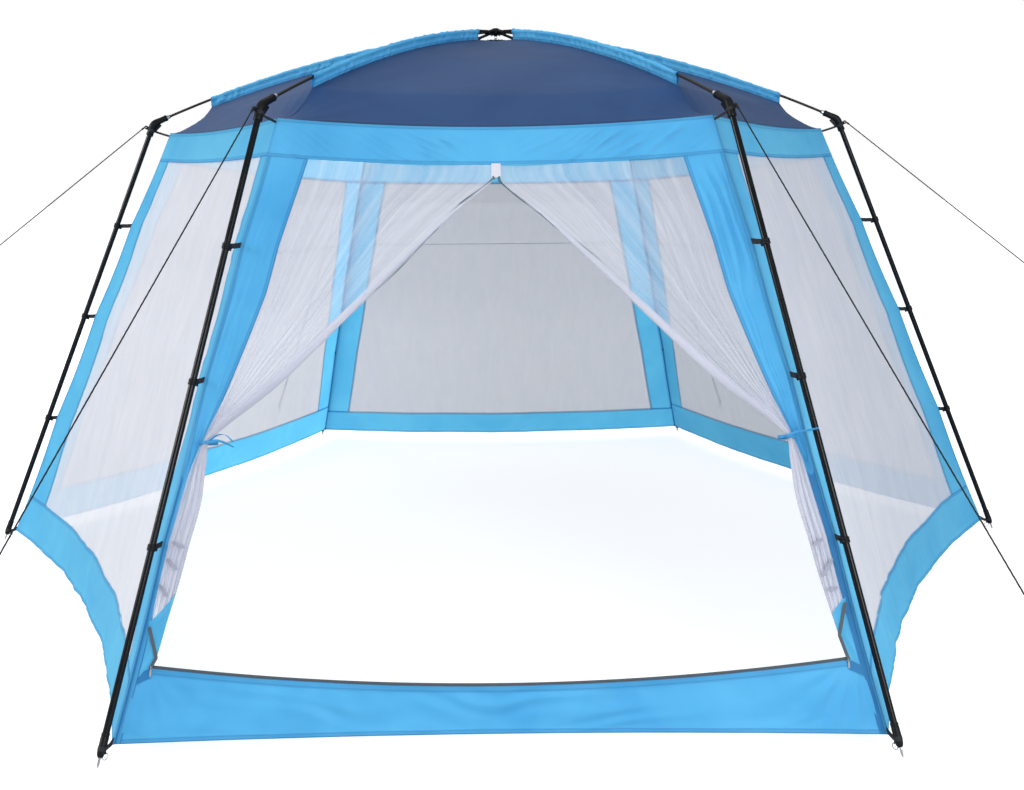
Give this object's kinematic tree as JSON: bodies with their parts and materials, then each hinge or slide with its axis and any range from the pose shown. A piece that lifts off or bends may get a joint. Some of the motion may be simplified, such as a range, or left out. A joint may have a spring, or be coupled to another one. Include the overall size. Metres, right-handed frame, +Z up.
{
  "type": "pool tent",
  "caption": "Six-sided pool tent with splayed legs, sprung roof poles, a cloth canopy, mesh walls, a doorway with curtains tied back, and guy lines.",
  "frame": {"origin": "middle of the tent's footprint on the ground", "axes": "+Z up; the doorway faces -Y; +X toward the right corner as seen from the front"},
  "size_m": [8.6668, 5.948, 2.445],
  "materials": {
    "leg": "semi-gloss black powder coat on steel tube, with black webbing clips",
    "elbow": "moulded black plastic",
    "roof_pole": "black fibreglass rod with a steel ferrule",
    "crown_hub": "moulded black plastic",
    "roof_gore": "coated navy polyester",
    "pole_sleeve": "coated light blue polyester",
    "wall": "white insect mesh with light blue borders",
    "front_border": "coated light blue polyester",
    "door_curtain": "white insect mesh, gathered",
    "guy_line": "thin black braided cord with a steel peg"
  },
  "bodies": {
    "root": {"crown_hub": "crown_hub", "door_curtain_left": "door_curtain", "door_curtain_right": "door_curtain", "elbow_back_left": "elbow", "elbow_back_right": "elbow", "elbow_front_left": "elbow", "elbow_front_right": "elbow", "elbow_left": "elbow", "elbow_right": "elbow", "front_border": "front_border", "guy_line_back_left": "guy_line", "guy_line_back_right": "guy_line", "guy_line_front_left": "guy_line", "guy_line_front_right": "guy_line", "guy_line_left": "guy_line", "guy_line_right": "guy_line", "leg_back_left": "leg", "leg_back_right": "leg", "leg_front_left": "leg", "leg_front_right": "leg", "leg_left": "leg", "leg_right": "leg", "pole_sleeve_back_left": "pole_sleeve", "pole_sleeve_back_right": "pole_sleeve", "pole_sleeve_front_left": "pole_sleeve", "pole_sleeve_front_right": "pole_sleeve", "pole_sleeve_left": "pole_sleeve", "pole_sleeve_right": "pole_sleeve", "roof_gore_back": "roof_gore", "roof_gore_front": "roof_gore", "roof_gore_left_back": "roof_gore", "roof_gore_left_front": "roof_gore", "roof_gore_right_back": "roof_gore", "roof_gore_right_front": "roof_gore", "roof_pole_back_left": "roof_pole", "roof_pole_back_right": "roof_pole", "roof_pole_front_left": "roof_pole", "roof_pole_front_right": "roof_pole", "roof_pole_left": "roof_pole", "roof_pole_right": "roof_pole", "wall_back": "wall", "wall_left_back": "wall", "wall_left_front": "wall", "wall_right_back": "wall", "wall_right_front": "wall"}
  },
  "joints": []
}
